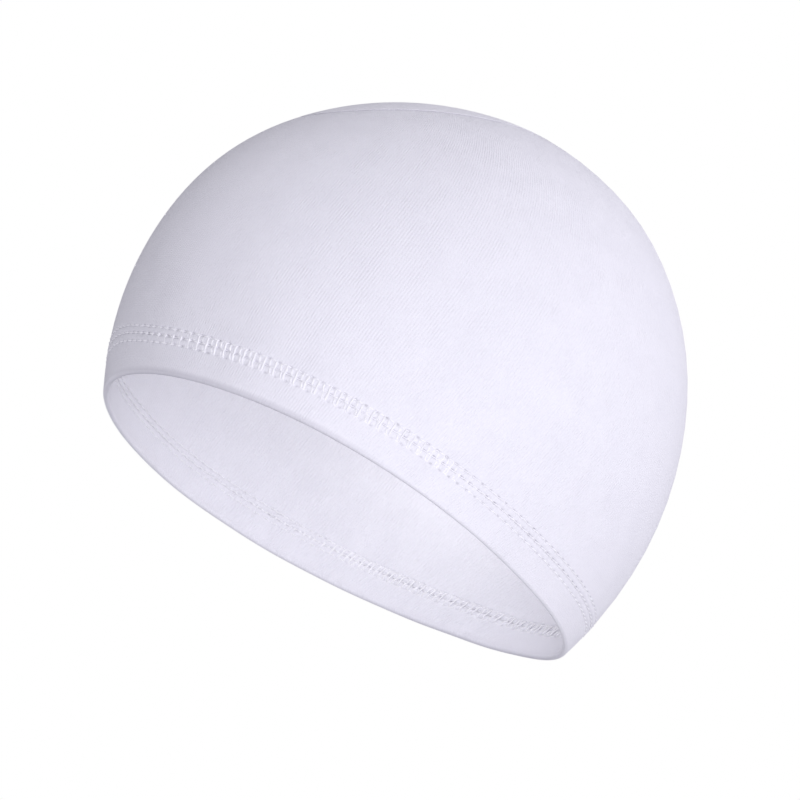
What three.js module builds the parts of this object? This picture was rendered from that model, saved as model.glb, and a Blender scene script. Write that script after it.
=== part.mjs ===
// A thin fleece skull cap in its worn form, hollow and open below.
// Millimetres. +X is the front, +Y the wearer's left, +Z the crown.
// The origin is the centre of the rim opening, and the rim lies in the plane z = 0.
import * as THREE from 'three';
import { mergeVertices } from 'three/addons/utils/BufferGeometryUtils.js';

// Driving dimensions
const capHeight = 150;
const clothThickness = 1.5;
const hemHeight = 14.2;
const pieceGap = 0.3;

// How far the dome reaches from its axis to the front, the back and each side.
// Each row is one control of a smooth curve from the rim to the crown.
const domeReach = [
  { at: 'rim', front: 87.7, back: 88.5, side: 78 },
  { at: 'brow', front: 124.4, back: 115.5, side: 91 },
  { at: 'temple', front: 126.5, back: 110, side: 101.6 },
  { at: 'crown', front: 88.5, back: 121, side: 88.5 },
];

// The rim's outline departs from an ellipse: it is blunt at the forehead and narrower at the nape.
// Both changes fade up the wall, the first one fast.
const rimEgg = 0.15;
const rimEggFade = 12;
const rimSquareness = 0.01;

// The crown panel's seam, as angles on the dome measured from the crown point.
// Its centre lies forward of that point, so it is on top of a level head.
const crownSeam = {
  centre: THREE.MathUtils.degToRad(22.5),
  halfLength: THREE.MathUtils.degToRad(21),
  halfWidth: THREE.MathUtils.degToRad(21.6),
  roundness: 2.5,
};
// Cloth on both sides of the seam rolls down into it.
const seamRollWidth = 2.4;
const seamDip = 0.6;
// Length on the dome of one radian near the crown.
const crownRadian = 105;

// The hem is the wall turned up inside: two layers and a round fold.
const hemThickness = 2 * clothThickness;
const foldRadius = hemThickness / 2;
const foldSteps = 5;
// Needle lines of the hem's stitching that dent its outer face.
const needleLines = [
  { name: 'lower', height: 9.5, dip: 0.35 },
  { name: 'middle', height: 11.85, dip: 0.3 },
];
const needleDentHalfWidth = 0.8;

// How finely the bodies are divided
const wrapColumns = 84;
const wrapRows = 9;
const crownColumns = 48;
const crownRings = 4;

const quarterTurn = Math.PI / 2;

// The value of a four-row curve of one column of the table, from the rim (0) to the crown (1)
function reachAt(column, rise) {
  const fall = 1 - rise;
  const weights = [fall ** 3, 3 * fall * fall * rise, 3 * fall * rise * rise, rise ** 3];
  return weights.reduce((sum, weight, row) => sum + weight * domeReach[row][column], 0);
}

// The dome's axis is moved so that the rim's front and back lie equally far from the origin.
const rimShift = (domeReach[0].front - domeReach[0].back) / 2;

// A point of the outer face. fromCrown is the angle down from the crown point, and round the
// angle about the cap's axis from the front.
function outerPoint(fromCrown, round) {
  const rise = 1 - fromCrown / quarterTurn;
  const spread = Math.sin(fromCrown);
  const along = Math.cos(round);
  const front = reachAt('front', rise);
  const back = reachAt('back', rise);
  const frontShare = along * (1.5 - 0.5 * along * along);
  const lengthReach = (front + back) / 2 + ((front - back) / 2) * frontShare;
  const outline = spread * (1 + rimSquareness * (Math.cos(4 * round) - 1) * spread ** 2);
  const egg = 1 + rimEgg * along * spread ** rimEggFade;
  return new THREE.Vector3(
    lengthReach * along * outline - rimShift,
    reachAt('side', rise) * Math.sin(round) * outline * egg,
    capHeight * Math.cos(fromCrown),
  );
}

// The dome laid out flat: a place is the angle from the crown point, forward (u) and to the side (v).
function outerPointAt(u, v) {
  return outerPoint(Math.hypot(u, v), Math.atan2(v, u));
}

// A point of the wall at a depth below its outer face
function wallPoint(u, v, depth) {
  const step = 0.002;
  const forward = outerPointAt(u + step, v).sub(outerPointAt(u - step, v));
  const sideways = outerPointAt(u, v + step).sub(outerPointAt(u, v - step));
  const inward = sideways.cross(forward).normalize();
  return outerPointAt(u, v).addScaledVector(inward, depth);
}

// The place on the flat layout at a height above the rim, in a direction about the axis
function placeAtHeight(height, round) {
  const fromCrown = Math.acos(height / capHeight);
  return new THREE.Vector2(fromCrown * Math.cos(round), fromCrown * Math.sin(round));
}

// The place on the crown seam in a direction about the seam's centre, moved outward by a length
function placeOnSeam(round, outward) {
  const { centre, halfLength, halfWidth, roundness } = crownSeam;
  const lengthPart = Math.abs(Math.cos(round) / halfLength) ** roundness;
  const widthPart = Math.abs(Math.sin(round) / halfWidth) ** roundness;
  const radius = (lengthPart + widthPart) ** (-1 / roundness) + outward / crownRadian;
  return new THREE.Vector2(centre + radius * Math.cos(round), radius * Math.sin(round));
}

// Adds a triangle unless two of its corners are the same point
function addTriangle(positions, a, b, c) {
  const samePoint = 1e-6;
  const shortest = Math.min(a.distanceTo(b), b.distanceTo(c), c.distanceTo(a));
  if (shortest > samePoint) {
    positions.push(...a.toArray(), ...b.toArray(), ...c.toArray());
  }
}

// A body lofted round the cap from one path of points for each direction. A ring's path closes
// on itself, and a panel's path runs from the centre of its inner face to that of its outer face.
function loftedBody(columns, pathToward, closesOnItself) {
  const paths = [];
  for (let column = 0; column < columns; column++) {
    paths.push(pathToward((column / columns) * 2 * Math.PI));
  }
  const positions = [];
  const steps = closesOnItself ? paths[0].length : paths[0].length - 1;
  for (let column = 0; column < columns; column++) {
    const path = paths[column];
    const nextPath = paths[(column + 1) % columns];
    for (let step = 0; step < steps; step++) {
      const after = (step + 1) % path.length;
      addTriangle(positions, path[step], nextPath[step], nextPath[after]);
      addTriangle(positions, path[step], nextPath[after], path[after]);
    }
  }
  const geometry = new THREE.BufferGeometry();
  geometry.setAttribute('position', new THREE.Float32BufferAttribute(positions, 3));
  const merged = mergeVertices(geometry, 1e-4);
  merged.computeVertexNormals();
  return merged;
}

// The hem's section in one direction: up its dented outer face, over its top, down its inner
// face and round the fold at the rim
function hemPath(round) {
  const profile = [{ height: foldRadius, depth: 0 }];
  profile.push({ height: hemHeight / 3, depth: 0 });
  for (const line of needleLines) {
    profile.push({ height: line.height - needleDentHalfWidth, depth: 0 });
    profile.push({ height: line.height, depth: line.dip });
    profile.push({ height: line.height + needleDentHalfWidth, depth: 0 });
  }
  profile.push({ height: hemHeight - needleDentHalfWidth, depth: 0 });
  profile.push({ height: hemHeight, depth: seamDip });
  profile.push({ height: hemHeight, depth: hemThickness });
  profile.push({ height: (hemHeight + foldRadius) / 2, depth: hemThickness });
  for (let step = 0; step < foldSteps; step++) {
    const turn = (step / foldSteps) * Math.PI;
    profile.push({
      height: foldRadius * (1 - Math.sin(turn)),
      depth: foldRadius * (1 + Math.cos(turn)),
    });
  }
  return profile.map(({ height, depth }) => {
    const place = placeAtHeight(height, round);
    return wallPoint(place.x, place.y, depth);
  });
}

// The side wrap's section in one direction: up its outer face from the hem to the crown seam,
// over its edge there and down its inner face
function wrapPath(round) {
  const bottom = placeAtHeight(hemHeight + pieceGap, round);
  const bottomRoll = placeAtHeight(hemHeight + pieceGap + needleDentHalfWidth, round);
  const topRoll = placeOnSeam(round, seamRollWidth);
  const top = placeOnSeam(round, 0);
  const outer = [wallPoint(bottom.x, bottom.y, seamDip)];
  const inner = [wallPoint(bottom.x, bottom.y, clothThickness)];
  for (let row = 0; row <= wrapRows; row++) {
    const place = bottomRoll.clone().lerp(topRoll, row / wrapRows);
    outer.push(wallPoint(place.x, place.y, 0));
    if (row > 0 && row < wrapRows) {
      inner.push(wallPoint(place.x, place.y, clothThickness));
    }
  }
  outer.push(wallPoint(top.x, top.y, seamDip));
  inner.push(wallPoint(top.x, top.y, clothThickness));
  return [...outer, ...inner.reverse()];
}

// The crown panel's section in one direction: from the centre of its inner face out to its edge,
// over the edge, which rolls down into the seam, and back to the centre of its outer face
function crownPath(round) {
  const centre = new THREE.Vector2(crownSeam.centre, 0);
  const edge = placeOnSeam(round, -pieceGap);
  const roll = placeOnSeam(round, -pieceGap - seamRollWidth);
  const inner = [];
  const outer = [];
  for (let ring = 0; ring <= crownRings; ring++) {
    const place = centre.clone().lerp(roll, ring / crownRings);
    outer.push(wallPoint(place.x, place.y, 0));
    if (ring < crownRings) {
      inner.push(wallPoint(place.x, place.y, clothThickness));
    }
  }
  inner.push(wallPoint(edge.x, edge.y, clothThickness));
  outer.push(wallPoint(edge.x, edge.y, seamDip));
  return [...inner, ...outer.reverse()];
}

const fleece = { metalness: 0, roughness: 0.95 };

const hemBand = new THREE.Mesh(
  loftedBody(wrapColumns, hemPath, true),
  new THREE.MeshStandardMaterial({ ...fleece, color: 0xe4e4f0 }),
);
hemBand.name = 'hem_band';

const sideWrap = new THREE.Mesh(
  loftedBody(wrapColumns, wrapPath, true),
  new THREE.MeshStandardMaterial({ ...fleece, color: 0xececf6 }),
);
sideWrap.name = 'side_wrap';

const crownPanel = new THREE.Mesh(
  loftedBody(crownColumns, crownPath, false),
  new THREE.MeshStandardMaterial({ ...fleece, color: 0xe8e8f2 }),
);
crownPanel.name = 'crown_panel';

const skullCap = new THREE.Group();
skullCap.add(hemBand, sideWrap, crownPanel);

export default skullCap;
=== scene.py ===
import math

import bpy
import numpy as np
from mathutils import Matrix, Vector


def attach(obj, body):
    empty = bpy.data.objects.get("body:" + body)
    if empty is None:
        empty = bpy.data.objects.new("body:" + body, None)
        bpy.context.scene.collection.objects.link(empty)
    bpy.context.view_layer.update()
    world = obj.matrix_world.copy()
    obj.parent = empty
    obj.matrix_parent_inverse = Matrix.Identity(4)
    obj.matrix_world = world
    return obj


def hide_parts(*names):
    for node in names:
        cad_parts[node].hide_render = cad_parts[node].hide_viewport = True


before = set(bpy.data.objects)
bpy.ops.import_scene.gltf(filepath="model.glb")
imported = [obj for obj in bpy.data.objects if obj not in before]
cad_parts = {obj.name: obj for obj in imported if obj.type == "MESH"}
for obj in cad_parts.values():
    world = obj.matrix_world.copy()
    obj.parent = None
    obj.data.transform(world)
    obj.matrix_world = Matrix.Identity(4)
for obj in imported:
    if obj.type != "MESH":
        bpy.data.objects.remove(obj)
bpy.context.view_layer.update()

# A white fleece skull cap, worn. Blender works in metres and the cap's form is worked out in
# millimetres: +X is the front, +Y the wearer's left, +Z the crown.
MM = 0.001
QUARTER_TURN = math.pi / 2
FULL_TURN = 2 * math.pi

# The dome, as in the part's source
CAP_HEIGHT = 150.0
CLOTH = 1.5
HEM_HEIGHT = 14.2
# The stitched hem is pressed thinner than its two loose layers of cloth.
HEM_DEPTH = 2.2
FOLD_RADIUS = HEM_DEPTH / 2
DOME_REACH = {
    # four controls of a smooth curve: rim, brow, temple, crown
    "front": (87.7, 124.4, 126.5, 88.5),
    "back": (88.5, 115.5, 110.0, 121.0),
    "side": (78.0, 91.0, 101.6, 88.5),
}
RIM_EGG = 0.15
RIM_EGG_FADE = 12
RIM_SQUARENESS = 0.01
RIM_SHIFT = (DOME_REACH["front"][0] - DOME_REACH["back"][0]) / 2

# The crown panel's seam on the dome
SEAM_CENTRE = math.radians(22.5)
SEAM_HALF_LENGTH = math.radians(21)
SEAM_HALF_WIDTH = math.radians(21.6)
SEAM_ROUNDNESS = 2.5
# How deep the cloth rolls down to the seam, and from how far away
CROWN_ROLL = (0.20, 0.6)
WRAP_ROLL = (0.42, 1.7)
# How strong the painted shade is where the cloth meets the seam
SEAM_SHADE = 0.70
# How far that painted shade reaches on the inner face
SEAM_EDGE = 0.2
# The length on the dome of one radian near the crown
CROWN_RADIAN = 105.0

# Places that lie a little flatter than the dome, or fuller where the depth is negative: high on
# the front, under the crown panel's rear part, behind its seam and down the back.
FLAT_PLACES = (
    # centre, length and width in degrees, depth
    (66, 20, 38, 1.1),
    (14, 20, 26, 0.8),
    (-3, 14, 30, 0.6),
    (-20, 11, 40, -0.75),
    (-57, 17, 40, 0.55),
)
# Slow waves of the whole dome
SOFT_WAVES = (
    # height, turns per millimetre forward and to the side in radians, start
    (0.16, 0.061, 0.023, 0.4),
    (0.13, -0.034, 0.072, 2.1),
    (0.09, 0.102, -0.058, 4.0),
)
# Waves that run round the cap: the seed, and the fewest and most waves in a turn
RIM_WAVE = (3, 5, 14)
RIM_WAVE_HEIGHT = 0.12
RIM_WAVE_FADE = 8.0
PUCKER_WAVE = (11, 22, 34)
PUCKER_HEIGHT = 0.035
PUCKER_FADE = 6.0
# The stitched band rises a little at the middle of the front, over some stitches to each side.
FRONT_RISE = 2.0
FRONT_RISE_STITCHES = 5.6

# The hem's cover stitch: three needle lines, with the same number of stitches on each
STITCH_COUNT = 138
LINE_LOW = 9.45
LINE_MIDDLE = 11.8
LINE_TOP = 14.14
NEEDLE_LINES = (LINE_LOW, LINE_MIDDLE, LINE_TOP)
STEPS_PER_STITCH = 8
SEAM_STITCH_COUNT = 72
# The stitches are drawn out longer at one place, behind the right ear.
DRAWN_OUT = 0.30
DRAWN_OUT_CENTRE = math.radians(217)
DRAWN_OUT_WIDTH = math.radians(19)
# The stitches draw the turned-up layer in, from a little below the low needle line upward.
HEM_PRESS = 0.72
PRESS_START = LINE_LOW - 1.0
PRESS_LENGTH = 5.5
PRESS_CURVE = 1.2
# The relief of the stitched band: a groove along each needle line, pits in it at the needle
# points and a puffed channel between two lines, which changes along each stitch
GROOVE_DEPTH = 0.10
GROOVE_WIDTH = 0.5
PIT_WIDTH = 0.34
PUFF_HEIGHT = 0.12
PUFF_WIDTH = 0.75
PUFF_CHANGE = 0.3
# How unevenly the stitches are drawn tight, and how tight those with no whole strokes are
TENSION_SPREAD = 0.22
LOOSE_TENSION = 0.6

# How many points the angles of equal steps are worked out from
FINE_POINTS = 7201

random = np.random.default_rng(7)


# The dome's form

def bell(distance, width):
    return np.exp(-(distance / width) ** 2)


def reach_at(name, rise):
    fall = 1 - rise
    rim, brow, temple, crown = DOME_REACH[name]
    return (rim * fall**3 + 3 * brow * fall**2 * rise
            + 3 * temple * fall * rise**2 + crown * rise**3)


def outer_point(from_crown, around):
    """A point of the smooth outer face, by its angle down from the crown and about the axis."""
    rise = 1 - from_crown / QUARTER_TURN
    spread = np.sin(from_crown)
    along = np.cos(around)
    front = reach_at("front", rise)
    back = reach_at("back", rise)
    front_share = along * (1.5 - 0.5 * along**2)
    length_reach = (front + back) / 2 + (front - back) / 2 * front_share
    outline = spread * (1 + RIM_SQUARENESS * (np.cos(4 * around) - 1) * spread**2)
    egg = 1 + RIM_EGG * along * spread**RIM_EGG_FADE
    return np.stack([
        length_reach * along * outline - RIM_SHIFT,
        reach_at("side", rise) * np.sin(around) * outline * egg,
        CAP_HEIGHT * np.cos(from_crown),
    ], axis=-1)


def outer_point_at(u, v):
    """The same face laid out flat: u is the angle forward of the crown, v to the side."""
    return outer_point(np.hypot(u, v), np.arctan2(v, u))


def outward_at(u, v):
    step = 0.002
    forward = outer_point_at(u + step, v) - outer_point_at(u - step, v)
    sideways = outer_point_at(u, v + step) - outer_point_at(u, v - step)
    normal = np.cross(forward, sideways)
    return normal / np.linalg.norm(normal, axis=-1, keepdims=True)


def wall_point(u, v, depth):
    """A point of the wall at a depth below its smooth outer face."""
    depth = np.asarray(depth, dtype=float)
    return outer_point_at(u, v) - outward_at(u, v) * depth[..., None]


def front_rise(height, around):
    """How far the hem's upper part is raised at a direction about the axis."""
    width = FULL_TURN * FRONT_RISE_STITCHES / STITCH_COUNT
    from_front = np.abs(np.mod(around + math.pi, FULL_TURN) - math.pi)
    return FRONT_RISE * bell(from_front, width) * np.clip(height / LINE_MIDDLE, 0, 1)


def place_at_height(height, around):
    height = np.asarray(height)
    from_crown = np.arccos((height + front_rise(height, around)) / CAP_HEIGHT)
    return from_crown * np.cos(around), from_crown * np.sin(around)


def place_on_seam(around, outward):
    """A place at a distance outward of the crown seam, in a direction about the seam's centre."""
    length_part = np.abs(np.cos(around) / SEAM_HALF_LENGTH) ** SEAM_ROUNDNESS
    width_part = np.abs(np.sin(around) / SEAM_HALF_WIDTH) ** SEAM_ROUNDNESS
    radius = (length_part + width_part) ** (-1 / SEAM_ROUNDNESS) + outward / CROWN_RADIAN
    return SEAM_CENTRE + radius * np.cos(around), radius * np.sin(around)


def spaced_angles(count, place, stretch):
    """Angles whose places lie at equal distances along a closed line on the dome, or at longer
    ones where it is stretched."""
    fine = np.linspace(0, FULL_TURN, FINE_POINTS)
    u, v = place(fine)
    points = outer_point_at(u, v)
    steps = np.linalg.norm(np.diff(points, axis=0), axis=1) / stretch(fine[1:])
    length = np.concatenate([[0], np.cumsum(steps)])
    wanted = np.arange(count) / count * length[-1]
    return np.interp(wanted, length, fine), length[-1]


HEM_COLUMNS = STITCH_COUNT * STEPS_PER_STITCH
HEM_ANGLES, HEM_LENGTH = spaced_angles(
    HEM_COLUMNS, lambda around: place_at_height(LINE_MIDDLE, around),
    lambda around: 1 + DRAWN_OUT * bell(around - DRAWN_OUT_CENTRE, DRAWN_OUT_WIDTH))
SEAM_ANGLES, _ = spaced_angles(
    SEAM_STITCH_COUNT * STEPS_PER_STITCH, lambda around: place_on_seam(around, 0.0), np.ones_like)


def angle_of_stitch(stitch, angles, count):
    """The angle of a place counted in stitches from the front, on a line of so many stitches."""
    table = np.append(angles, FULL_TURN)
    turns = np.floor(stitch / count)
    inside = (stitch - turns * count) * STEPS_PER_STITCH
    return np.interp(inside, np.arange(len(table)), table)


# The cloth's relief, in millimetres inward of the smooth face

def smooth_wave(around, seed, lowest, highest):
    """A smooth irregular wave about the axis, between about -1 and 1."""
    source = np.random.default_rng(seed)
    total = np.zeros_like(around)
    orders = range(lowest, highest + 1)
    for order in orders:
        total = total + source.normal() * np.sin(order * around + source.uniform(0, FULL_TURN))
    return total / math.sqrt(len(orders))


def soft_form(u, v):
    """The slow undulation of cloth that holds its own form."""
    forward, sideways = u * CROWN_RADIAN, v * CROWN_RADIAN
    total = np.zeros_like(forward)
    for size, along, across, start in SOFT_WAVES:
        total = total + size * np.sin(along * forward + across * sideways + start)
    for centre, length, width, depth in FLAT_PLACES:
        flat = bell(np.degrees(u) - centre, length) * bell(np.degrees(v), width)
        total = total - depth * flat
    return total


def hem_press(height):
    """How far the stitches draw the turned-up layer in, most at the top needle line."""
    share = np.clip((height - PRESS_START) / PRESS_LENGTH, 0, 1)
    return HEM_PRESS * share**PRESS_CURVE


STITCH_TENSION = 1 + TENSION_SPREAD * random.standard_normal(STITCH_COUNT)
# How far the crossing threads stand out of the cloth round the cap: 1 where whole strokes show,
# and near 0 where they are drawn in and only the needle lines show.
OUTER_PROUD = (
    # stitch, share
    (0, 0.15), (5, 0.20), (8, 0.42), (13, 0.55), (17, 1.0), (35, 1.0), (40, 0.45), (47, 0.15),
    (64, 0.15), (71, 0.60), (78, 1.0), (128, 1.0), (134, 0.40), (138, 0.15),
)
INNER_PROUD = (
    # stitch, share
    (0, 0.20), (13, 0.80), (57, 0.80), (70, 0.60), (75, 1.0), (91, 1.0), (96, 0.50),
    (103, 0.25), (108, 0.12), (128, 0.12), (138, 0.20),
)
# How much more painted shade the outer needle holes get where the threads are drawn in
HOLE_SHADE = 1.5
# How strong the painted shade is along the fold
RIM_SHADE = (
    # stitch, share
    (0, 0.50), (6, 0.74), (12, 0.84), (19, 0.80), (28, 0.74), (41, 0.32), (66, 0.24), (75, 0.68),
    (84, 0.64), (95, 0.42), (130, 0.42), (138, 0.50),
)


def share_at(stitch, table):
    places, shares = np.array(table).T
    return np.interp(np.mod(stitch, STITCH_COUNT), places, shares)


def band_relief(height, stitch, pit_phases, proud):
    """The grooves, needle pits and puffed channels of the stitched band."""
    phase = np.mod(stitch, 1)
    tension = STITCH_TENSION[np.floor(stitch).astype(int) % STITCH_COUNT]
    tension = tension * (LOOSE_TENSION + (1 - LOOSE_TENSION) * share_at(stitch, proud))
    depth = np.zeros(np.broadcast(height, stitch).shape)
    for line in NEEDLE_LINES:
        across = height - line
        depth = depth + GROOVE_DEPTH * bell(across, GROOVE_WIDTH)
        for centre, length, strength in pit_phases[line]:
            gap = np.abs(np.mod(phase - centre + 0.5, 1) - 0.5)
            depth = depth + strength * tension * bell(gap, length) * bell(across, PIT_WIDTH)
    along_stitch = 1 - PUFF_CHANGE * np.cos(FULL_TURN * phase)
    for low, high in zip(NEEDLE_LINES[:-1], NEEDLE_LINES[1:]):
        middle = (low + high) / 2
        depth = depth - PUFF_HEIGHT * bell(height - middle, PUFF_WIDTH) * along_stitch
    return depth


# The needle pits of each line: where in the stitch, how long and how deep. The last one is the
# main one.
OUTER_PITS = {
    LINE_LOW: ((0.34, 0.16, 0.48),),
    LINE_MIDDLE: ((0.60, 0.08, 0.70), (0.28, 0.16, 1.00)),
    LINE_TOP: ((0.64, 0.06, 0.35), (0.30, 0.13, 0.75)),
}
INNER_PITS = {
    LINE_LOW: ((0.22, 0.12, 0.3),),
    LINE_MIDDLE: ((0.62, 0.14, 0.62), (0.10, 0.18, 0.85)),
    LINE_TOP: ((0.50, 0.10, 0.30), (0.00, 0.13, 0.60)),
}
# No pit is deeper than this, so that the pits of the two faces don't meet inside the hem.
OUTER_PIT_LIMIT = 0.95
INNER_PIT_LIMIT = 0.75


def hole_shade(stitch):
    """More painted shade in the outer needle holes where no whole strokes cover them."""
    return 1 + HOLE_SHADE * (1 - share_at(stitch, OUTER_PROUD))


def seam_roll(distance, roll):
    """How far cloth rolls down towards a seam at a distance from it."""
    depth, width = roll
    return depth * np.clip(1 - distance / width, 0, 1) ** 2


def seam_pucker(around, distance):
    """Small gathers that run out of the crown seam and fade."""
    return PUCKER_HEIGHT * smooth_wave(around, *PUCKER_WAVE) * np.exp(-distance / PUCKER_FADE)


def seam_distance(u, v):
    """The distance on the dome outward of the crown seam, negative on the crown panel."""
    around = np.arctan2(v, u - SEAM_CENTRE)
    seam_u, seam_v = place_on_seam(around, 0.0)
    radius = np.hypot(u - SEAM_CENTRE, v)
    return (radius - np.hypot(seam_u - SEAM_CENTRE, seam_v)) * CROWN_RADIAN, around


# Mesh making

# Edges sharper than this, such as a cut edge of cloth, aren't smoothed over.
SHARP_ANGLE = math.radians(75)


def make_mesh(name, points, faces):
    mesh = bpy.data.meshes.new(name)
    mesh.from_pydata((points * MM).tolist(), [], faces)
    mesh.update()
    mesh.shade_smooth()
    mesh.set_sharp_from_angle(angle=SHARP_ANGLE)
    piece = bpy.data.objects.new(name, mesh)
    bpy.context.scene.collection.objects.link(piece)
    return piece


def ring_faces(rows, columns, closes_on_itself):
    """Quads over a grid of rows that each run round the cap."""
    row = np.arange(rows if closes_on_itself else rows - 1)[:, None]
    column = np.arange(columns)[None, :]
    above = (row + 1) % rows
    beside = (column + 1) % columns
    corners = [row * columns + column, row * columns + beside,
               above * columns + beside, above * columns + column]
    return np.stack(np.broadcast_arrays(*corners), axis=-1).reshape(-1, 4)


def mark_cloth(piece, painted_shade, weave):
    """Stores each point's painted shade, and each corner's place in the knit in millimetres."""
    mesh = piece.data
    painted_shade_layer = mesh.attributes.new("painted_shade", "FLOAT", "POINT")
    painted_shade_layer.data.foreach_set("value", painted_shade.ravel().astype(np.float32))
    weave_layer = mesh.attributes.new("weave", "FLOAT_VECTOR", "CORNER")
    weave_layer.data.foreach_set("vector", weave.ravel().astype(np.float32))


def lofted_ring(name, place_u, place_v, depth, painted_shade, weave_height, length):
    """A closed ring of cloth, from grids of places, depths and heights along the knit."""
    rows, columns = place_u.shape
    points = wall_point(place_u, place_v, depth).reshape(-1, 3)
    faces = ring_faces(rows, columns, True)
    piece = make_mesh(name, points, faces.tolist())
    column = np.tile(np.arange(columns)[None, :], (rows, 1))
    beside = column + 1
    across = np.stack([column, beside, beside, column], axis=-1) / columns * length
    above = np.roll(weave_height, -1, axis=0)
    upward = np.stack([weave_height, weave_height, above, above], axis=-1)
    weave = np.stack([across, upward, np.zeros_like(across)], axis=-1)
    mark_cloth(piece, painted_shade, weave)
    return piece


# The pieces of cloth

# Where the hem's fine rows begin, and how many rows its parts have
BAND_START = LINE_LOW - 1.2
PLAIN_ROWS = 8
BAND_ROWS = 26
EDGE_ROWS = 3
FOLD_ROWS = 14
# How strongly the fold's painted shade goes on up each face, and how far
OUTER_FOLD_SHADE = 0.78
OUTER_FOLD_REACH = 1.15
INNER_FOLD_SHADE = 0.30
INNER_FOLD_REACH = 2.4
# The rows of the side wrap: heights above the hem, distances from the crown seam, and how many
# steps lie between the two
WRAP_LOW_ROWS = (0.0, 0.22, 0.44, 0.7, 1.0, 1.4, 1.9, 2.5)
WRAP_TOP_ROWS = (4.5, 3.4, 2.5, 1.8, 1.2, 0.7, 0.3, 0.0)
WRAP_STEPS = 24
# The rings of the crown panel: distances inward of its seam, and how many steps lie further in
CROWN_EDGE_RINGS = (0.0, 0.3, 0.7, 1.2, 1.8, 2.5, 3.4, 4.5, 6.0, 8.0, 10.5)
CROWN_STEPS = 16


def hem_cloth():
    """The hem: its stitched outer face, its round fold and the layer turned up inside."""
    plain = np.linspace(FOLD_RADIUS, BAND_START, PLAIN_ROWS)[:-1]
    band = np.linspace(BAND_START, HEM_HEIGHT, BAND_ROWS)
    outer_heights = np.concatenate([plain, band])
    inner_heights = np.concatenate([band[::-1], plain[:0:-1]])
    turn = np.linspace(0, math.pi, FOLD_ROWS)[:-1]
    fold_heights = FOLD_RADIUS * (1 - np.sin(turn))
    fold_depths = FOLD_RADIUS * (1 + np.cos(turn))
    edge_heights = np.full(EDGE_ROWS, HEM_HEIGHT)
    heights = np.concatenate([outer_heights, edge_heights, inner_heights, fold_heights])
    inner_first = len(outer_heights) + EDGE_ROWS
    base = np.concatenate([np.zeros(inner_first), np.full(len(inner_heights), HEM_DEPTH),
                           fold_depths])

    around = HEM_ANGLES[None, :]
    stitch = np.arange(HEM_COLUMNS)[None, :] / STEPS_PER_STITCH
    height = heights[:, None]
    depth = base[:, None] + np.zeros_like(around)
    painted_shade = np.zeros_like(depth)
    outer_rows = slice(0, len(outer_heights))
    inner_rows = slice(inner_first, inner_first + len(inner_heights))
    outer_relief = band_relief(height[outer_rows], stitch, OUTER_PITS, OUTER_PROUD)
    inner_relief = band_relief(height[inner_rows], stitch, INNER_PITS, INNER_PROUD)
    depth[outer_rows] += np.minimum(outer_relief, OUTER_PIT_LIMIT)
    depth[inner_rows] -= np.minimum(inner_relief, INNER_PIT_LIMIT) + hem_press(height[inner_rows])
    # painted shade in the grooves and needle pits, as strong as their depth and stronger outside
    # where no whole strokes cover them
    painted_shade[outer_rows] = outer_relief * hole_shade(stitch)
    painted_shade[inner_rows] = inner_relief
    # the top edge runs straight from the outer face to the inner one
    outer_last = len(outer_heights) - 1
    for row in range(outer_last + 1, inner_first):
        share = (row - outer_last) / (inner_first - outer_last)
        depth[row] = depth[outer_last] * (1 - share) + depth[inner_first] * share
    # painted shade along the fold, and a little way up both faces
    fold_rows = slice(inner_first + len(inner_heights), None)
    rim_shade = share_at(stitch, RIM_SHADE)
    inner_half = np.cos(np.minimum(turn, QUARTER_TURN)) ** 2
    outer_half = np.cos(np.maximum(turn, QUARTER_TURN)) ** 2
    painted_shade[fold_rows] = rim_shade * (np.sin(turn) ** 3 + INNER_FOLD_SHADE * inner_half)[:, None]
    painted_shade[fold_rows] += OUTER_FOLD_SHADE * rim_shade**2 * outer_half[:, None]
    above_fold = height - FOLD_RADIUS
    painted_shade[outer_rows] += (OUTER_FOLD_SHADE * rim_shade**2
                           * bell(above_fold[outer_rows], OUTER_FOLD_REACH))
    painted_shade[inner_rows] += (INNER_FOLD_SHADE * rim_shade
                           * bell(above_fold[inner_rows], INNER_FOLD_REACH))
    depth += RIM_WAVE_HEIGHT * smooth_wave(around, *RIM_WAVE) * bell(height, RIM_WAVE_FADE)
    place_u, place_v = place_at_height(height, around)
    depth -= soft_form(place_u, place_v)
    weave_height = np.concatenate([outer_heights, edge_heights, -inner_heights, fold_heights])
    weave_height = np.broadcast_to(weave_height[:, None], depth.shape)
    piece = lofted_ring("hem_band_cloth", place_u, place_v, depth, painted_shade,
                        weave_height, HEM_LENGTH)
    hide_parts("hem_band")
    return piece


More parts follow.
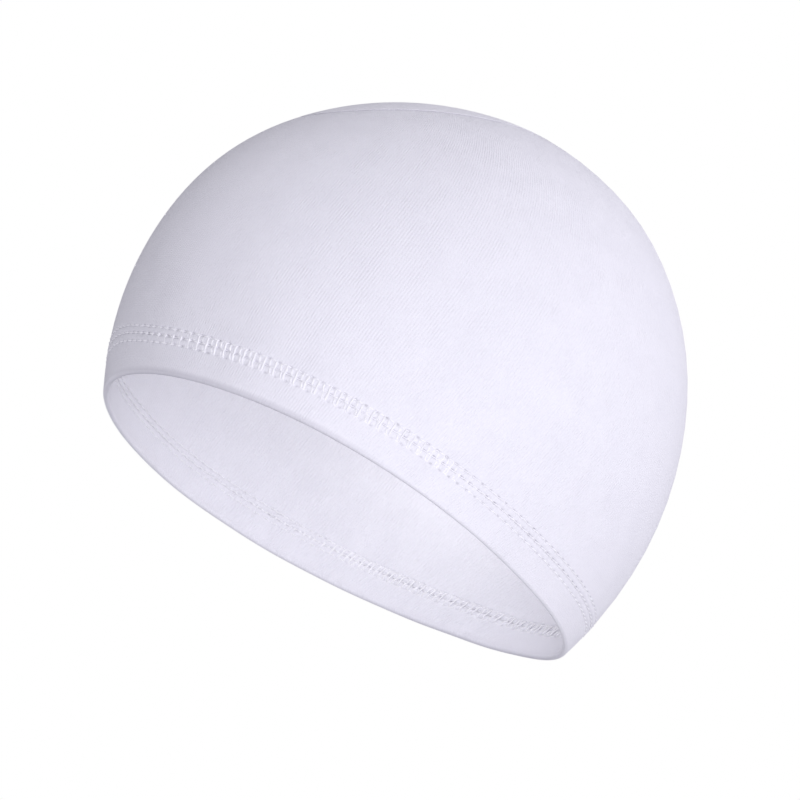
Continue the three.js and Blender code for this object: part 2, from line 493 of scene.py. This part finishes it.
def wrap_cloth():
    """The side wrap, from the top needle line up to the crown seam, with both its faces."""
    stitch = np.arange(HEM_COLUMNS)[None, :] / STEPS_PER_STITCH
    around = HEM_ANGLES[None, :]
    low_heights = HEM_HEIGHT + np.array(WRAP_LOW_ROWS)
    low_u, low_v = place_at_height(low_heights[:, None], around)
    seam_around = np.arctan2(low_v[-1], low_u[-1] - SEAM_CENTRE)
    top_distances = np.array(WRAP_TOP_ROWS)
    top_u, top_v = place_on_seam(seam_around[None, :], top_distances[:, None])
    share = np.linspace(0, 1, WRAP_STEPS)[1:-1, None]
    middle_u = low_u[-1] * (1 - share) + top_u[0] * share
    middle_v = low_v[-1] * (1 - share) + top_v[0] * share
    face_u = np.concatenate([low_u, middle_u, top_u])
    face_v = np.concatenate([low_v, middle_v, top_v])

    height = CAP_HEIGHT * np.cos(np.hypot(face_u, face_v))
    height = height - front_rise(height, around)
    relief = band_relief(height, stitch, OUTER_PITS, OUTER_PROUD)
    distance, direction = seam_distance(face_u, face_v)
    roll = seam_roll(distance, WRAP_ROLL)
    form = soft_form(face_u, face_v)
    outer = relief + roll - seam_pucker(direction, distance) - form
    inner = CLOTH - form - band_relief(height, stitch, INNER_PITS, INNER_PROUD)
    # all rows near the hem, and every second one above
    inner_rows = list(range(len(face_u) - 1, len(low_heights), -2))
    inner_rows += list(range(len(low_heights) - 1, -1, -1))
    place_u = np.concatenate([face_u, face_u[inner_rows]])
    place_v = np.concatenate([face_v, face_v[inner_rows]])
    depth = np.concatenate([outer, inner[inner_rows]])
    # painted shade in the needle pits, where the cloth rolls down to the seam, and along the seam
    # on the inner face
    outer_painted_shade = relief * hole_shade(stitch) + SEAM_SHADE * roll / WRAP_ROLL[0]
    inner_painted_shade = SEAM_SHADE * bell(distance, SEAM_EDGE)
    painted_shade = np.concatenate([outer_painted_shade, inner_painted_shade[inner_rows]])
    weave_height = np.concatenate([height, -height[inner_rows]])
    piece = lofted_ring("side_wrap_cloth", place_u, place_v, depth, painted_shade,
                        weave_height, HEM_LENGTH)
    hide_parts("side_wrap")
    return piece


def crown_cloth():
    """The crown panel, puffed up where its edge rolls down into the seam."""
    distances = np.array(CROWN_EDGE_RINGS)
    around = SEAM_ANGLES[None, :]
    edge_u, edge_v = place_on_seam(around, -distances[:, None])
    share = np.linspace(1, 0, CROWN_STEPS)[1:-1, None]
    middle_u = SEAM_CENTRE + (edge_u[-1] - SEAM_CENTRE) * share
    middle_v = edge_v[-1] * share
    face_u = np.concatenate([edge_u, middle_u])
    face_v = np.concatenate([edge_v, middle_v])
    distance, direction = seam_distance(face_u, face_v)
    inward = -distance
    roll = seam_roll(inward, CROWN_ROLL)
    outer = roll - seam_pucker(direction, inward) - soft_form(face_u, face_v)
    inner = CLOTH - soft_form(face_u, face_v)

    rows, columns = face_u.shape
    grid_u = np.concatenate([face_u[::-1], face_u])
    grid_v = np.concatenate([face_v[::-1], face_v])
    depth = np.concatenate([outer[::-1], inner])
    # painted shade where the cloth rolls down to the seam, and along the seam on the inner face
    outer_painted_shade = SEAM_SHADE * roll / CROWN_ROLL[0]
    inner_painted_shade = SEAM_SHADE * bell(inward, SEAM_EDGE)
    painted_shade = np.concatenate([outer_painted_shade[::-1], inner_painted_shade])
    ring_points = wall_point(grid_u, grid_v, depth).reshape(-1, 3)
    centre_u = np.array([SEAM_CENTRE, SEAM_CENTRE])
    centre_v = np.zeros(2)
    centre_form = soft_form(centre_u, centre_v)
    centre_points = wall_point(centre_u, centre_v, np.array([0.0, CLOTH]) - centre_form)
    points = np.concatenate([ring_points, centre_points])
    faces = ring_faces(2 * rows, columns, False)[:, ::-1].tolist()
    outer_centre = 2 * rows * columns
    last_ring = (2 * rows - 1) * columns
    for column in range(columns):
        beside = (column + 1) % columns
        faces.append([outer_centre, column, beside])
        faces.append([outer_centre + 1, last_ring + beside, last_ring + column])
    piece = make_mesh("crown_panel_cloth", points, faces)
    all_painted_shade = np.append(painted_shade.ravel(), [0.0, 0.0])
    corner_points = np.array([loop.vertex_index for loop in piece.data.loops])
    weave = np.stack([points[corner_points, 1], points[corner_points, 0],
                      np.zeros(len(corner_points))], axis=-1)
    mark_cloth(piece, all_painted_shade, weave)
    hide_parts("crown_panel")
    return piece


# Threads

THREAD_SIDES = 6
COVER_RADIUS = 0.30
LOOPER_RADIUS = 0.34
NEEDLE_RADIUS = 0.19
SEAM_RADIUS = 0.14
# How uneven the threads lie: each point and each stitch along the band in stitches, and each
# point up the band and out of the cloth in millimetres
POINT_JITTER = 0.016
STITCH_JITTER = 0.03
HEIGHT_JITTER = 0.05
LIFT_JITTER = 0.03
NEEDLE_JITTER = 0.03
SEAM_JITTER = 0.05


def tube(centres, outward, radius, closed):
    """Points and faces of a thread along a line, upright to the cloth it lies on."""
    sides = THREAD_SIDES
    if closed:
        ahead = np.roll(centres, -1, axis=0)
        behind = np.roll(centres, 1, axis=0)
    else:
        ahead = np.concatenate([centres[1:], centres[-1:]])
        behind = np.concatenate([centres[:1], centres[:-1]])
    run = ahead - behind
    run = run / np.linalg.norm(run, axis=1, keepdims=True)
    side = np.cross(run, outward)
    side = side / np.linalg.norm(side, axis=1, keepdims=True)
    up = np.cross(side, run)
    turn = np.arange(sides) / sides * FULL_TURN
    ring = (side[:, None, :] * np.cos(turn)[None, :, None]
            + up[:, None, :] * np.sin(turn)[None, :, None])
    radius = np.broadcast_to(radius, len(centres))
    points = (centres[:, None, :] + ring * radius[:, None, None]).reshape(-1, 3)
    rows = len(centres)
    faces = ring_faces(rows, sides, closed).tolist()
    if not closed:
        faces.append(list(range(sides))[::-1])
        faces.append(list(range((rows - 1) * sides, rows * sides)))
    return points, faces


def joined_threads(name, tubes):
    """One piece from many threads."""
    points = []
    faces = []
    start = 0
    for tube_points, tube_faces in tubes:
        points.append(tube_points)
        faces.extend([[corner + start for corner in face] for face in tube_faces])
        start += len(tube_points)
    return make_mesh(name, np.concatenate(points), faces)


def band_line(stitch, height, lift, on_inside):
    """The places and outward directions of a thread that lies on the stitched band."""
    around = angle_of_stitch(stitch, HEM_ANGLES, STITCH_COUNT)
    place_u, place_v = place_at_height(height, around)
    outward = outward_at(place_u, place_v)
    form = soft_form(place_u, place_v)
    face = HEM_DEPTH - hem_press(height) if on_inside else 0.0
    depth = face - form + (lift if on_inside else -lift)
    return wall_point(place_u, place_v, depth), (-outward if on_inside else outward)


# One stitch of the cover thread: how far along the stitch, how far up the band, and how high
# above the cloth. It crosses the band in one stroke, which dips at the middle line, and comes
# back in two short ones.
COVER_STITCH = (
    # along, up, lift
    (0.00, 0.00, -0.45),
    (0.01, 0.07, 0.06),
    (0.02, 0.22, 0.26),
    (0.03, 0.38, 0.24),
    (0.045, 0.50, 0.10),
    (0.06, 0.62, 0.24),
    (0.075, 0.78, 0.27),
    (0.09, 0.93, 0.08),
    (0.10, 1.00, -0.45),
    (0.20, 1.00, -0.80),
    (0.45, 0.98, -0.80),
    (0.55, 0.93, -0.20),
    (0.565, 0.86, 0.14),
    (0.57, 0.74, 0.28),
    (0.575, 0.63, 0.14),
    (0.59, 0.56, -0.35),
    (0.63, 0.50, -0.80),
    (0.68, 0.45, -0.60),
    (0.71, 0.39, -0.15),
    (0.72, 0.31, 0.16),
    (0.73, 0.20, 0.24),
    (0.74, 0.10, 0.08),
    (0.77, 0.02, -0.40),
    (0.88, 0.00, -0.70),
)
# The looper thread inside leans as it crosses the band in one stroke and comes back in two.
LOOPER_STITCH = (
    # along, up, lift
    (0.00, 0.00, -0.40),
    (-0.02, 0.08, 0.10),
    (-0.06, 0.25, 0.34),
    (-0.10, 0.42, 0.34),
    (-0.12, 0.50, 0.26),
    (-0.14, 0.60, 0.34),
    (-0.18, 0.78, 0.36),
    (-0.21, 0.93, 0.10),
    (-0.22, 1.00, -0.40),
    (-0.10, 1.01, -0.65),
    (0.14, 1.00, -0.60),
    (0.21, 0.92, 0.02),
    (0.25, 0.76, 0.28),
    (0.29, 0.62, 0.12),
    (0.33, 0.53, -0.20),
    (0.36, 0.46, -0.20),
    (0.40, 0.34, 0.20),
    (0.44, 0.20, 0.27),
    (0.47, 0.08, 0.02),
    (0.50, 0.00, -0.40),
    (0.75, -0.01, -0.65),
)
# How deep the crossing thread lies where it is drawn in
DRAWN_IN = -0.60


def crossing_thread(stitch_shape, radius, on_inside, proud):
    """The thread that runs once round the cap and zigzags across the band."""
    along, up, lift = np.array(stitch_shape).T
    count = len(along)
    start = np.repeat(np.arange(STITCH_COUNT), count)
    point_jitter = POINT_JITTER * random.standard_normal(STITCH_COUNT * count)
    stitch_jitter = np.repeat(STITCH_JITTER * random.standard_normal(STITCH_COUNT), count)
    stitch = start + np.tile(along, STITCH_COUNT) + point_jitter + stitch_jitter
    height = LINE_LOW + np.tile(up, STITCH_COUNT) * (LINE_TOP - LINE_LOW)
    height = height + HEIGHT_JITTER * random.standard_normal(len(height))
    share = share_at(start, proud)
    lift = np.tile(lift, STITCH_COUNT) * share + DRAWN_IN * (1 - share)
    lift = lift + LIFT_JITTER * random.standard_normal(len(height))
    centres, outward = band_line(stitch, height, lift, on_inside)
    return tube(centres, outward, radius, True)


# One stitch of a needle thread, from one needle point to the next
NEEDLE_DASH = (
    # along, lift
    (0.00, -0.80),
    (0.22, -0.50),
    (0.36, -0.20),
    (0.50, -0.10),
    (0.64, -0.20),
    (0.78, -0.50),
)
# How much higher the needle thread lies where the crossing threads are drawn in
NEEDLE_RISE = 0.34


def needle_thread(line, first, on_inside, proud):
    """The straight thread of one needle, which dips into the cloth at each needle point."""
    along, lift = np.array(NEEDLE_DASH).T
    start = np.repeat(np.arange(STITCH_COUNT), len(along))
    stitch = start + first + np.tile(along, STITCH_COUNT)
    height = line + NEEDLE_JITTER * random.standard_normal(len(stitch))
    rise = NEEDLE_RISE * (1 - share_at(start, proud))
    centres, outward = band_line(stitch, height, np.tile(lift, STITCH_COUNT) + rise, on_inside)
    return tube(centres, outward, NEEDLE_RADIUS, True)


def hem_stitches(name, stitch_shape, radius, pits, proud, on_inside):
    """The threads of one face of the hem: one that crosses the band, and one on each line."""
    threads = [crossing_thread(stitch_shape, radius, on_inside, proud)]
    for line in NEEDLE_LINES:
        main_pit = pits[line][-1][0]
        threads.append(needle_thread(line, main_pit, on_inside, proud))
    return joined_threads(name, threads)


# One strand of the crown seam, in stitches along it and in millimetres outward and deep
SEAM_STRAND = (
    # along, outward, depth
    (0.00, -0.80, 0.90),
    (0.05, -0.45, 0.30),
    (0.12, -0.20, 0.42),
    (0.20, 0.00, 0.50),
    (0.28, 0.25, 0.48),
    (0.35, 0.55, 0.40),
    (0.40, 0.90, 0.90),
)


def seam_stitches():
    """The slanted strands that hold the crown seam and show down in its groove."""
    along, outward, depth = np.array(SEAM_STRAND).T
    threads = []
    for stitch in range(SEAM_STITCH_COUNT):
        shift = SEAM_JITTER * random.standard_normal()
        around = angle_of_stitch(stitch + shift + along, SEAM_ANGLES, SEAM_STITCH_COUNT)
        place_u, place_v = place_on_seam(around, outward)
        centres = wall_point(place_u, place_v, depth - soft_form(place_u, place_v))
        threads.append(tube(centres, outward_at(place_u, place_v), SEAM_RADIUS, False))
    return joined_threads("crown_seam_stitches", threads)


# Materials

def node(tree, kind, **settings):
    made = tree.nodes.new(kind)
    for name, value in settings.items():
        setattr(made, name, value)
    return made


def math_node(tree, operation, first, second=None):
    made = node(tree, "ShaderNodeMath", operation=operation)
    for socket, value in zip(made.inputs, (first, second)):
        if value is None:
            continue
        if isinstance(value, (int, float)):
            socket.default_value = value
        else:
            tree.links.new(value, socket)
    return made.outputs[0]


def noise(tree, place, scale, detail, roughness=0.5):
    made = node(tree, "ShaderNodeTexNoise")
    made.inputs["Scale"].default_value = scale
    made.inputs["Detail"].default_value = detail
    made.inputs["Roughness"].default_value = roughness
    tree.links.new(place, made.inputs["Vector"])
    return made.outputs["Fac"]


def bump(tree, height, distance, strength, below=None):
    made = node(tree, "ShaderNodeBump")
    made.inputs["Distance"].default_value = distance
    made.inputs["Strength"].default_value = strength
    tree.links.new(height, made.inputs["Height"])
    if below is not None:
        tree.links.new(below, made.inputs["Normal"])
    return made.outputs["Normal"]


def scaled_place(tree, place, scale):
    made = node(tree, "ShaderNodeMapping")
    made.inputs["Scale"].default_value = scale
    tree.links.new(place, made.inputs["Vector"])
    return made.outputs["Vector"]


# The knit: the width of a wale, its lean and the height of a course
WALE_WIDTH = 0.97
WALE_LEAN = math.tan(math.radians(17))
COURSE_HEIGHT = 0.75
# How strong the courses are beside the wales, and how far both wander
COURSE_SHARE = 0.15
KNIT_WANDER = 2.6
# How narrow the nap's streaks are across the wales and along them
STREAK_SCALE = (2.9, 0.80, 1.0)
# The relief of the knit, the nap and the fibres of a thread: its height in metres, and how
# strongly it shows
KNIT_RELIEF = (0.00009, 0.7)
NAP_RELIEF = (0.00028, 0.8)
FIBRE_RELIEF = (0.00008, 0.5)
# How strong the fluff is beside the streaks in the nap
FLUFF_SHARE = 0.5
# How fine each pattern is, in cells to the metre
WANDER_SCALE = 300
WORN_SCALE = 150
FLUFF_SCALE = 1500
CLOUD_SCALE = 90
SPECKLE_SCALE = 2800
FIBRE_SCALE = 4000
# How strong each pattern is in the mottling
CLOUD_SHARE = 0.30
SPECKLE_SHARE = 0.20
STREAK_SHARE = 0.55
KNIT_SHARE = 0.08
# The mottling goes from the shade to the full colour between these.
MOTTLE_RANGE = (0.38, 0.66)
# The painted shade colour comes in between these painted shade amounts, and covers at most this
# share.
PAINTED_SHADE_RANGE = (0.15, 0.9)
PAINTED_SHADE_MOST = 0.95
# How bright a thread is between its fibres, as a share of its colour
THREAD_SHADE = 0.93
FLEECE_COLOUR = (0.875, 0.868, 0.905)
FLEECE_SHADE = (0.815, 0.807, 0.85)
# The colour of the painted shade
PAINTED_SHADE_COLOUR = (0.50, 0.49, 0.54)
THREAD_COLOUR = (0.96, 0.955, 0.975)


def fleece_material():
    """Brushed knit: faint wales, a soft nap, slow mottling, and painted shade in the needle pits,
    along the fold and at the crown seam.
    """
    material = bpy.data.materials.new("white_fleece")
    material.use_nodes = True
    tree = material.node_tree
    shader = tree.nodes["Principled BSDF"]
    shader.inputs["Roughness"].default_value = 0.92
    shader.inputs["Specular IOR Level"].default_value = 0.18
    shader.inputs["Sheen Weight"].default_value = 0.12
    shader.inputs["Sheen Roughness"].default_value = 0.6

    weave = node(tree, "ShaderNodeAttribute", attribute_name="weave").outputs["Vector"]
    place = node(tree, "ShaderNodeTexCoord").outputs["Object"]
    parts = node(tree, "ShaderNodeSeparateXYZ")
    tree.links.new(weave, parts.inputs[0])
    upward = parts.outputs[1]
    lean = math_node(tree, "MULTIPLY", upward, WALE_LEAN)
    across = math_node(tree, "SUBTRACT", parts.outputs[0], lean)
    grain = node(tree, "ShaderNodeCombineXYZ")
    tree.links.new(across, grain.inputs[0])
    tree.links.new(upward, grain.inputs[1])

    # the knit under the nap
    wander = math_node(tree, "MULTIPLY", noise(tree, place, WANDER_SCALE, 2), KNIT_WANDER)
    wale_turn = math_node(tree, "MULTIPLY", across, FULL_TURN / WALE_WIDTH)
    wales = math_node(tree, "SINE", math_node(tree, "ADD", wale_turn, wander))
    course_turn = math_node(tree, "MULTIPLY", upward, FULL_TURN / COURSE_HEIGHT)
    courses = math_node(tree, "SINE", math_node(tree, "ADD", course_turn, wander))
    knit = math_node(tree, "MULTIPLY_ADD", courses, COURSE_SHARE)
    tree.links.new(wales, knit.node.inputs[2])
    worn = noise(tree, place, WORN_SCALE, 2)
    knit_height = math_node(tree, "MULTIPLY", knit, worn)

    # the nap: short fibres brushed along the wales, and their fluff
    streaks = noise(tree, scaled_place(tree, grain.outputs[0], STREAK_SCALE), 1.0, 4, 0.62)
    fluff = noise(tree, place, FLUFF_SCALE, 3, 0.6)
    fluff_height = math_node(tree, "MULTIPLY", fluff, FLUFF_SHARE)
    nap_height = math_node(tree, "ADD", streaks, fluff_height)

    normal = bump(tree, knit_height, *KNIT_RELIEF)
    normal = bump(tree, nap_height, *NAP_RELIEF, normal)
    tree.links.new(normal, shader.inputs["Normal"])

    # colour: slow mottling, the nap's own light and dark, and painted shade
    cloudy = math_node(tree, "MULTIPLY", noise(tree, place, CLOUD_SCALE, 4), CLOUD_SHARE)
    speckle = math_node(tree, "MULTIPLY", noise(tree, place, SPECKLE_SCALE, 1), SPECKLE_SHARE)
    cloudy = math_node(tree, "ADD", cloudy, speckle)
    fibrous = math_node(tree, "MULTIPLY", streaks, STREAK_SHARE)
    ribbed = math_node(tree, "MULTIPLY", knit_height, KNIT_SHARE)
    mottle = math_node(tree, "ADD", math_node(tree, "ADD", cloudy, fibrous), ribbed)
    ramp = node(tree, "ShaderNodeValToRGB")
    ramp.color_ramp.elements[0].position = MOTTLE_RANGE[0]
    ramp.color_ramp.elements[0].color = (*FLEECE_SHADE, 1)
    ramp.color_ramp.elements[1].position = MOTTLE_RANGE[1]
    ramp.color_ramp.elements[1].color = (*FLEECE_COLOUR, 1)
    tree.links.new(mottle, ramp.inputs["Fac"])
    # the painted shade stored on the cloth darkens its colour
    painted_shade = node(tree, "ShaderNodeAttribute", attribute_name="painted_shade").outputs["Fac"]
    painted_shade_amount = node(tree, "ShaderNodeMapRange")
    painted_shade_amount.inputs["From Min"].default_value = PAINTED_SHADE_RANGE[0]
    painted_shade_amount.inputs["From Max"].default_value = PAINTED_SHADE_RANGE[1]
    painted_shade_amount.inputs["To Max"].default_value = PAINTED_SHADE_MOST
    tree.links.new(painted_shade, painted_shade_amount.inputs["Value"])
    mix = node(tree, "ShaderNodeMix", data_type="RGBA")
    tree.links.new(painted_shade_amount.outputs["Result"], mix.inputs["Factor"])
    tree.links.new(ramp.outputs["Color"], mix.inputs["A"])
    mix.inputs["B"].default_value = (*PAINTED_SHADE_COLOUR, 1)
    tree.links.new(mix.outputs["Result"], shader.inputs["Base Color"])
    return material


def thread_material():
    """Soft textured sewing thread."""
    material = bpy.data.materials.new("white_thread")
    material.use_nodes = True
    tree = material.node_tree
    shader = tree.nodes["Principled BSDF"]
    shader.inputs["Roughness"].default_value = 0.6
    shader.inputs["Specular IOR Level"].default_value = 0.3
    shader.inputs["Sheen Weight"].default_value = 0.1
    place = node(tree, "ShaderNodeTexCoord").outputs["Object"]
    fibres = noise(tree, place, FIBRE_SCALE, 2)
    ramp = node(tree, "ShaderNodeValToRGB")
    ramp.color_ramp.elements[0].color = (*(value * THREAD_SHADE for value in THREAD_COLOUR), 1)
    ramp.color_ramp.elements[1].color = (*THREAD_COLOUR, 1)
    tree.links.new(fibres, ramp.inputs["Fac"])
    tree.links.new(ramp.outputs["Color"], shader.inputs["Base Color"])
    tree.links.new(bump(tree, fibres, *FIBRE_RELIEF), shader.inputs["Normal"])
    return material


def floor_material():
    material = bpy.data.materials.new("pale_floor")
    material.use_nodes = True
    shader = material.node_tree.nodes["Principled BSDF"]
    shader.inputs["Base Color"].default_value = (0.9, 0.9, 0.91, 1)
    shader.inputs["Roughness"].default_value = 0.9
    shader.inputs["Specular IOR Level"].default_value = 0.1
    return material


# The camera, floor and light

# The photograph is taken from below the rim, from the wearer's left, with the camera rolled.
CAMERA_SIDE = math.radians(10)
CAMERA_RISE = math.radians(-18.40)
CAMERA_ROLL = math.radians(29.11)
CAMERA_DISTANCE = 1.3933
FOCAL_PIXELS = 4177.6
IMAGE_SIZE = 800
SENSOR_WIDTH = 36.0
AIM = Vector((0.0004, 0.0, 0.0675))
AIM_PIXEL = (429.95, 350.26)
# The floor lies under a camera that looks up at the cap, and reaches past the edges of side views.
FLOOR_HEIGHT = -1.40
FLOOR_REACH = 60.0


def camera_axes():
    """The camera's right, up and backward directions before it is turned to the frame's centre."""
    back = Vector((math.sin(CAMERA_SIDE) * math.cos(CAMERA_RISE),
                   math.cos(CAMERA_SIDE) * math.cos(CAMERA_RISE),
                   math.sin(CAMERA_RISE)))
    level = Vector((0, 0, 1)).cross(back).normalized()
    upright = back.cross(level)
    right = math.cos(CAMERA_ROLL) * level + math.sin(CAMERA_ROLL) * upright
    up = math.cos(CAMERA_ROLL) * upright - math.sin(CAMERA_ROLL) * level
    return right, up, back


def turned_object(thing, right, up, back, location):
    turned = Matrix((right, up, back)).transposed().to_4x4()
    turned.translation = location
    thing.matrix_world = turned


def make_camera():
    right, up, back = camera_axes()
    location = AIM + back * CAMERA_DISTANCE
    per_pixel = CAMERA_DISTANCE / FOCAL_PIXELS
    centre = (AIM + right * (IMAGE_SIZE / 2 - AIM_PIXEL[0]) * per_pixel
              - up * (IMAGE_SIZE / 2 - AIM_PIXEL[1]) * per_pixel)
    back = (location - centre).normalized()
    right = up.cross(back).normalized()
    up = back.cross(right)
    data = bpy.data.cameras.new("camera")
    data.sensor_width = SENSOR_WIDTH
    data.lens = FOCAL_PIXELS / IMAGE_SIZE * SENSOR_WIDTH
    data.clip_end = 2 * FLOOR_REACH
    camera = bpy.data.objects.new("camera", data)
    bpy.context.scene.collection.objects.link(camera)
    turned_object(camera, right, up, back, location)
    bpy.context.scene.camera = camera


def make_floor():
    mesh = bpy.data.meshes.new("floor")
    corners = [(x * FLOOR_REACH, y * FLOOR_REACH, FLOOR_HEIGHT)
               for x, y in ((-1, -1), (1, -1), (1, 1), (-1, 1))]
    mesh.from_pydata(corners, [], [(0, 1, 2, 3)])
    floor = bpy.data.objects.new("floor", mesh)
    bpy.context.scene.collection.objects.link(floor)
    mesh.materials.append(floor_material())


# Soft boxes, placed from the camera's own directions
SOFT_BOXES = (
    # name, to the right, up, towards the camera, size, power
    ("key", 1.1, 0.0, 1.4, 1.0, 6.6),
    ("front_fill", 0.0, 0.0, 1.8, 1.0, 13.8),
    ("high_fill", 0.9, 0.9, 1.2, 1.0, 1.7),
    ("side_fill", 1.6, -0.1, 0.5, 1.0, 1.9),
    ("rear_side_fill", 1.5, 0.3, -0.6, 1.0, 7.0),
    ("rear_top_fill", 0.5, 1.4, -0.9, 1.2, 3.7),
)
# Two small lamps in the hollow stand for the light that thin white cloth lets through.
HOLLOW_LAMPS = (
    # name, place, power
    ("hollow_lamp_far", (-0.030, -0.034, 0.060), 0.0490),
    ("hollow_lamp_front", (0.044, -0.012, 0.058), 0.0130),
)
HOLLOW_LAMP_SIZE = 0.035
AMBIENT = 0.480
STUDIO_TINT = (0.930, 0.919, 1.0)


def add_light(name, kind, power):
    data = bpy.data.lights.new(name, kind)
    data.energy = power
    light = bpy.data.objects.new(name, data)
    light.visible_camera = False
    bpy.context.scene.collection.objects.link(light)
    return light


def make_lights():
    right, up, back = camera_axes()
    for name, aside, above, toward, size, power in SOFT_BOXES:
        direction = right * aside + up * above + back * toward
        light = add_light(name, "AREA", power)
        light.data.shape = "DISK"
        light.data.color = STUDIO_TINT
        light.data.size = size
        light.matrix_world = direction.to_track_quat("Z", "Y").to_matrix().to_4x4()
        light.matrix_world.translation = AIM + direction
    for name, place, power in HOLLOW_LAMPS:
        lamp = add_light(name, "POINT", power)
        lamp.data.shadow_soft_size = HOLLOW_LAMP_SIZE
        lamp.location = place


def make_world():
    """White where the camera sees it, and a dimmer even light on the cloth."""
    world = bpy.data.worlds.new("studio")
    world.use_nodes = True
    bpy.context.scene.world = world
    tree = world.node_tree
    tree.nodes.clear()
    seen = node(tree, "ShaderNodeBackground")
    seen.inputs["Color"].default_value = (1, 1, 1, 1)
    even = node(tree, "ShaderNodeBackground")
    even.inputs["Color"].default_value = (*STUDIO_TINT, 1)
    even.inputs["Strength"].default_value = AMBIENT
    path = node(tree, "ShaderNodeLightPath")
    mix = node(tree, "ShaderNodeMixShader")
    output = node(tree, "ShaderNodeOutputWorld")
    tree.links.new(path.outputs["Is Camera Ray"], mix.inputs[0])
    tree.links.new(even.outputs[0], mix.inputs[1])
    tree.links.new(seen.outputs[0], mix.inputs[2])
    tree.links.new(mix.outputs[0], output.inputs[0])


def make_cap():
    fleece = fleece_material()
    thread = thread_material()
    finishes = [
        (hem_cloth(), fleece, "fleece"),
        (wrap_cloth(), fleece, "fleece"),
        (crown_cloth(), fleece, "fleece"),
        (hem_stitches("hem_cover_stitches", COVER_STITCH, COVER_RADIUS,
                      OUTER_PITS, OUTER_PROUD, False), thread, "thread"),
        (hem_stitches("hem_looper_stitches", LOOPER_STITCH, LOOPER_RADIUS,
                      INNER_PITS, INNER_PROUD, True), thread, "thread"),
        (seam_stitches(), thread, "thread"),
    ]
    for piece, material, slot_name in finishes:
        piece.data.materials.append(material)
        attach(piece, "root")


make_camera()
make_floor()
make_lights()
make_world()
make_cap()
bpy.context.scene.view_settings.view_transform = "Standard"
